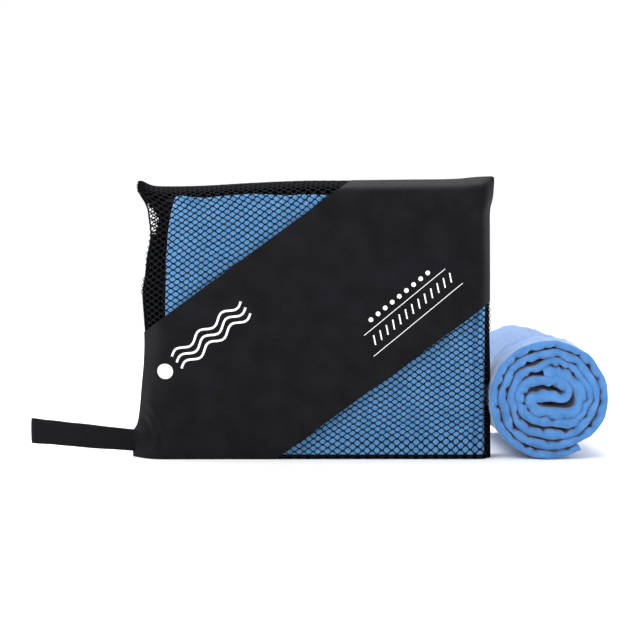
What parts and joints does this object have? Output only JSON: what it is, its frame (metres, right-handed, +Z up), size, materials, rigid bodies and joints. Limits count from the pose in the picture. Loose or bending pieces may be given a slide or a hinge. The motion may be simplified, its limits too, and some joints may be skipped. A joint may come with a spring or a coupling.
{
  "type": "quick-dry travel towel set",
  "caption": "Quick-dry towel folded inside a zipped net-and-nylon travel pouch with a webbing wrist loop, and a matching towel rolled up beside it.",
  "frame": {"origin": "on the floor, at the middle of the pouch's underside", "axes": "+X to the right along the pouch's width, towards the rolled towel; +Y from the pouch's front to its back; +Z up"},
  "size_m": [0.3987, 0.175, 0.1888],
  "materials": {
    "net": "black knitted polyester net",
    "nylon": "black woven nylon with a low sheen",
    "binding": "black bias tape",
    "zip_tape": "black woven polyester tape",
    "zip_teeth": "black moulded plastic",
    "slider_metal": "black enamelled zinc",
    "webbing": "black ribbed webbing",
    "thread": "black thread",
    "folded_microfibre": "blue suede microfibre",
    "rolled_microfibre": "blue suede microfibre"
  },
  "bodies": {
    "pouch": {"front_mesh_upper": "net", "front_mesh_lower": "net", "flap_mesh": "net", "mouth_corner_left": "net", "front_band": "nylon", "back_panel": "nylon", "bottom_panel": "nylon", "flap_nylon": "nylon", "mouth_corner_right": "nylon", "left_seam_binding": "binding", "right_seam_binding": "binding", "zip_tape_lower": "zip_tape", "zip_tape_upper": "zip_tape", "zip_teeth_lower": "zip_teeth", "zip_teeth_upper": "zip_teeth", "zip_stop_closed": "zip_teeth", "zip_stop_open": "zip_teeth", "loop_root": "webbing", "loop_bar_tack": "thread"},
    "zip_slider": {"slider_body": "slider_metal", "slider_bridge": "slider_metal"},
    "pull_tab": {"pull_tab": "slider_metal"},
    "wrist_loop": {"wrist_loop": "webbing"},
    "folded_towel": {"folded_towel": "folded_microfibre"},
    "rolled_towel": {"rolled_towel": "rolled_microfibre"}
  },
  "joints": [
    {"name": "zip_slide", "type": "slide", "parent": "pouch", "child": "zip_slider", "axis": [-1, 0, 0], "range_m": [0, 0.203], "deforming": ["zip_teeth_lower", "zip_teeth_upper"]},
    {"name": "pull_tab_swing", "type": "hinge", "parent": "zip_slider", "child": "pull_tab", "pos_m": [0.107, 0.02165, 0.178], "axis": [0, 0, -1], "range_deg": [0, 175]},
    {"name": "loop_swing", "type": "hinge", "parent": "pouch", "child": "wrist_loop", "pos_m": [-0.1235, 0, 0], "axis": [0, 0, 1], "range_deg": [-75, 75]},
    {"name": "towel_pull", "type": "slide", "parent": "pouch", "child": "folded_towel", "axis": [0, 0, 1], "range_m": [0, 0.19], "deforming": ["flap_mesh", "flap_nylon", "zip_tape_upper", "zip_teeth_upper"]},
    {"name": "roll_slide", "type": "slide", "parent": "pouch", "child": "rolled_towel", "axis": [1, 0, 0], "range_m": [0, 0.15]}
  ]
}
